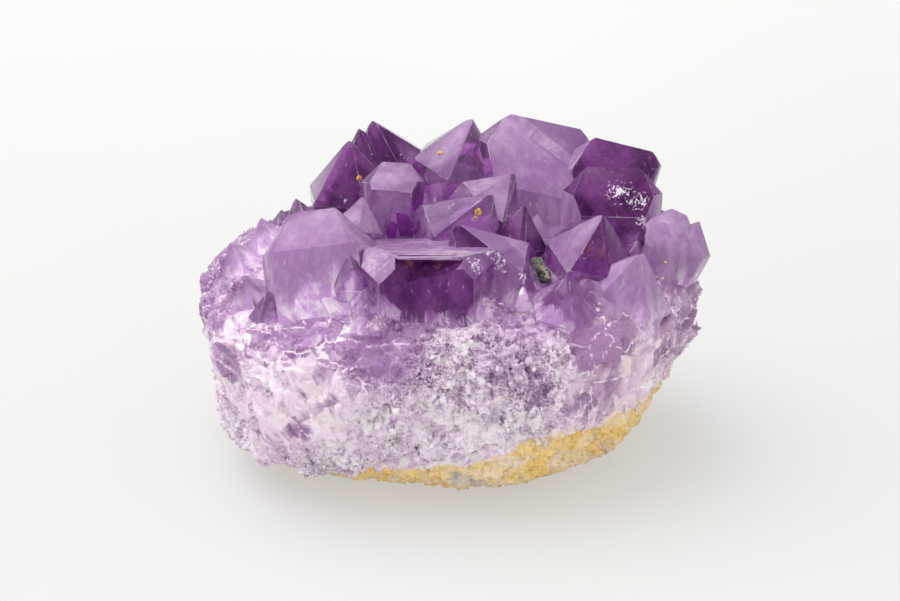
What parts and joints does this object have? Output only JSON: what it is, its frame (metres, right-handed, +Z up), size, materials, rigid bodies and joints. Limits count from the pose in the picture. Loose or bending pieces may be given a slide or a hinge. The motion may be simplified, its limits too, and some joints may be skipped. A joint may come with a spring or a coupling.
{
  "type": "amethyst cluster",
  "caption": "Amethyst cluster: a druse of purple quartz points on pale quartz, over a thin ochre crust of weathered matrix that it rests on.",
  "frame": {"origin": "centre of the footprint of the whole stone, on the surface it rests on", "axes": "+Z up, the broken front flank to -Y, the long way of the stone along X"},
  "size_m": [0.1284, 0.0896, 0.0772],
  "materials": {
    "quartz": "clear to milky, glossy faces",
    "weathered_matrix": "earthy, rough"
  },
  "bodies": {
    "root": {"amethyst": "quartz", "rind": "weathered_matrix"}
  },
  "joints": []
}
